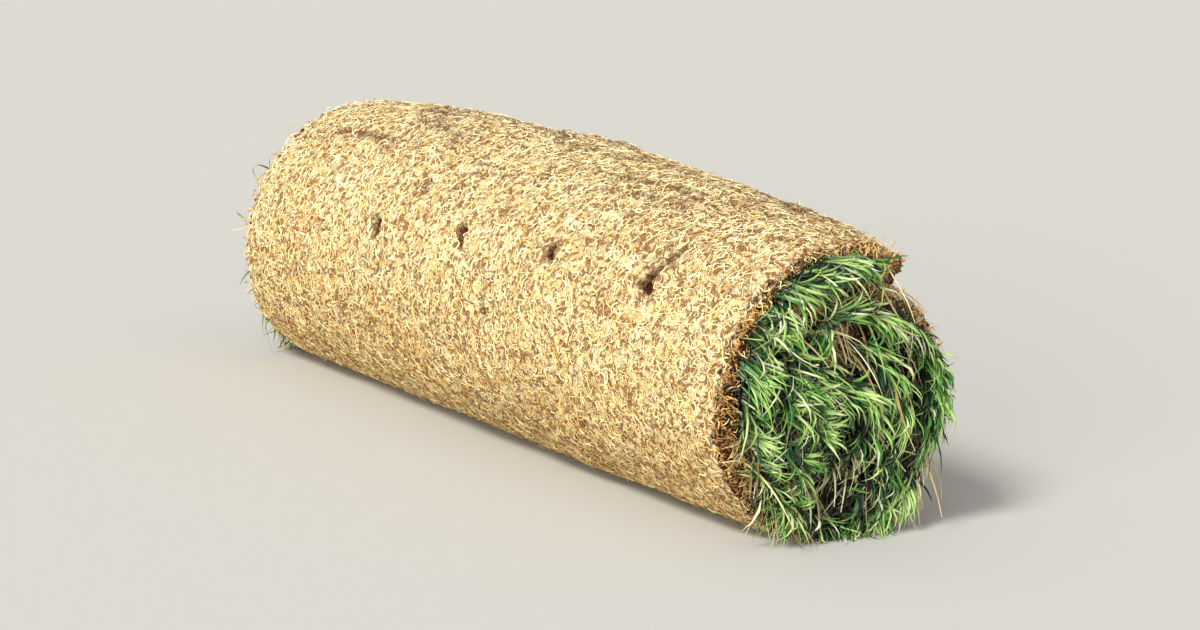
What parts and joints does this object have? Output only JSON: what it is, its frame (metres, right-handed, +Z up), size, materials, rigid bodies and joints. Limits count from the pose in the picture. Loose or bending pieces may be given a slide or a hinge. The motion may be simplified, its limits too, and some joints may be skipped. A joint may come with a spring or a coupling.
{
  "type": "turf roll",
  "caption": "Rolled strip of turf with its roots outside and its grass inside, lying on a settled underside, with its turns and grass showing at both ends.",
  "frame": {"origin": "on the floor under the middle of the roll", "axes": "+X along the roll's axis, +Y towards the side on which the strip's outer end lies, +Z up from the floor"},
  "size_m": [0.664, 0.2067, 0.2107],
  "materials": {
    "root_mat": "matte fibrous roots and dry soil",
    "grass": "soft satin grass blades"
  },
  "bodies": {
    "root": {"turf_roll": "root_mat"}
  },
  "joints": []
}
